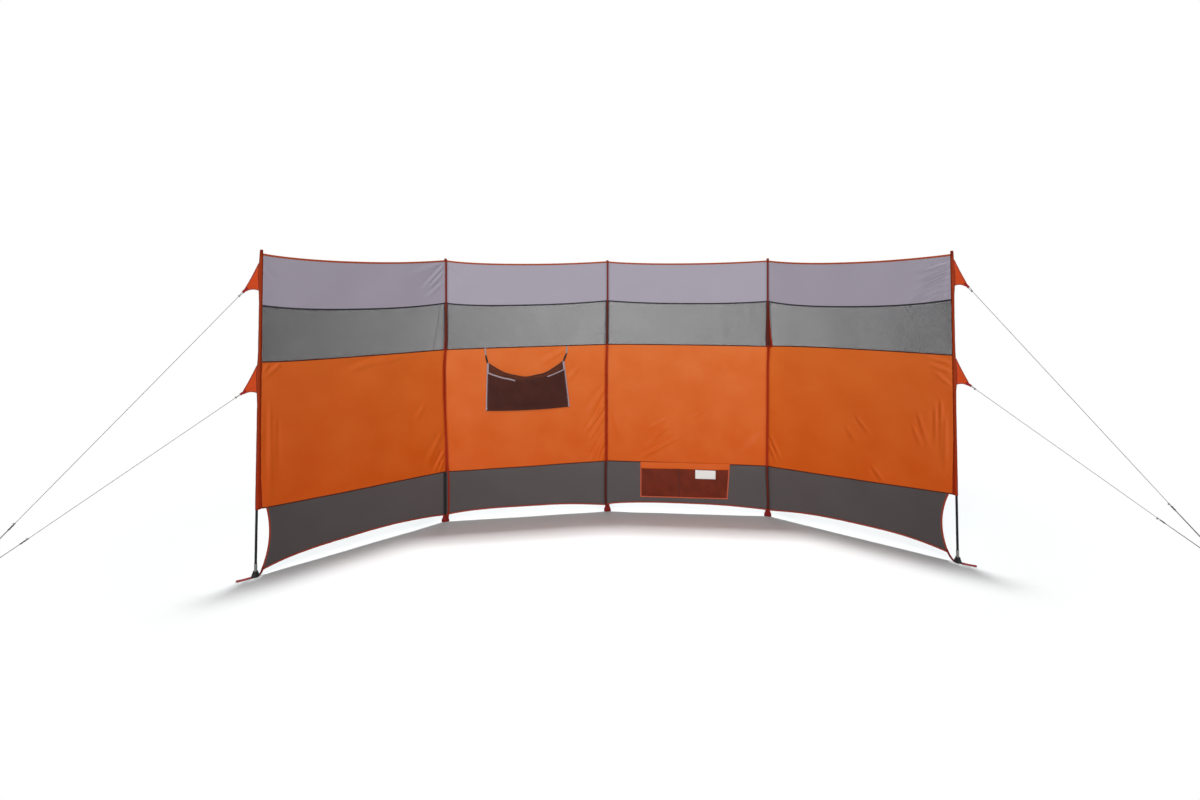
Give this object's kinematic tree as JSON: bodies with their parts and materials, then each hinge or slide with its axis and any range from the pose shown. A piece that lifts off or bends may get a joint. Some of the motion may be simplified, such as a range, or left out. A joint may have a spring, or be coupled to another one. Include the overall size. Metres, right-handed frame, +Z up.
{
  "type": "beach windbreak",
  "caption": "Free-standing fabric windbreak, curved in plan, with upright rods in sewn sleeves, mesh windows, a mesh skirt, pockets, and guy lines to ground pegs.",
  "frame": {"origin": "on the ground under the centre pole's foot", "axes": "+X to the right along the row as seen from the sheltered side, +Y out of the windward back, +Z up"},
  "size_m": [5.917, 2.0974, 1.52],
  "materials": {
    "top_cloth": "plain woven polyester, lavender grey",
    "window_mesh": "fine see-through mesh, grey",
    "main_cloth": "plain woven polyester, orange",
    "skirt_mesh": "dense mesh, dark grey",
    "edge_binding": "folded binding, burnt orange",
    "black_tape": "woven seam tape, black",
    "brown_tape": "woven seam tape, dark brown",
    "sleeve_cloth": "sewn sleeve cloth, red orange",
    "pole_rod": "pultruded fibreglass rod, black",
    "ferrule_steel": "drawn tube",
    "foot_plastic": "moulded, black",
    "red_webbing": "woven webbing, dark red",
    "tab_cloth": "plain woven polyester, orange",
    "guy_cord": "braided cord, light grey",
    "runner_plastic": "moulded, black",
    "peg_steel": "galvanised wire",
    "pocket_mesh": "mesh over orange cloth, dark",
    "pocket_binding": "folded binding, grey",
    "strap_tape": "narrow webbing, black"
  },
  "bodies": {
    "root": {"left_end_pole": "pole_rod", "left_end_sleeve": "sleeve_cloth", "left_pole": "pole_rod", "left_sleeve": "sleeve_cloth", "centre_pole": "pole_rod", "centre_sleeve": "sleeve_cloth", "right_pole": "pole_rod", "right_sleeve": "sleeve_cloth", "right_end_pole": "pole_rod", "right_end_sleeve": "sleeve_cloth", "left_end_bay_top_band": "top_cloth", "left_end_bay_window_mesh": "window_mesh", "left_end_bay_main_panel": "main_cloth", "left_end_bay_skirt_mesh": "skirt_mesh", "left_bay_top_band": "top_cloth", "left_bay_window_mesh": "window_mesh", "left_bay_main_panel": "main_cloth", "left_bay_skirt_mesh": "skirt_mesh", "right_bay_top_band": "top_cloth", "right_bay_window_mesh": "window_mesh", "right_bay_main_panel": "main_cloth", "right_bay_skirt_mesh": "skirt_mesh", "right_end_bay_top_band": "top_cloth", "right_end_bay_window_mesh": "window_mesh", "right_end_bay_main_panel": "main_cloth", "right_end_bay_skirt_mesh": "skirt_mesh", "top_bindings": "edge_binding", "top_seam_tapes": "black_tape", "window_seam_tapes": "brown_tape", "skirt_seam_tapes": "brown_tape", "hem_bindings": "edge_binding", "skirt_side_bindings": "edge_binding", "skirt_strips": "edge_binding", "foot_pockets": "red_webbing", "end_foot_straps": "red_webbing", "end_feet": "foot_plastic", "end_ferrules": "ferrule_steel", "guy_tabs": "tab_cloth", "guy_loops": "red_webbing", "guy_lines": "guy_cord", "line_runners": "runner_plastic", "ground_pegs": "peg_steel", "hanging_pocket_back": "pocket_mesh", "hanging_pocket_front": "pocket_mesh", "hanging_pocket_bindings": "pocket_binding", "hanging_pocket_straps": "strap_tape", "sewn_pocket_mesh": "pocket_mesh", "sewn_pocket_band": "main_cloth", "sewn_pocket_bindings": "edge_binding"}
  },
  "joints": []
}
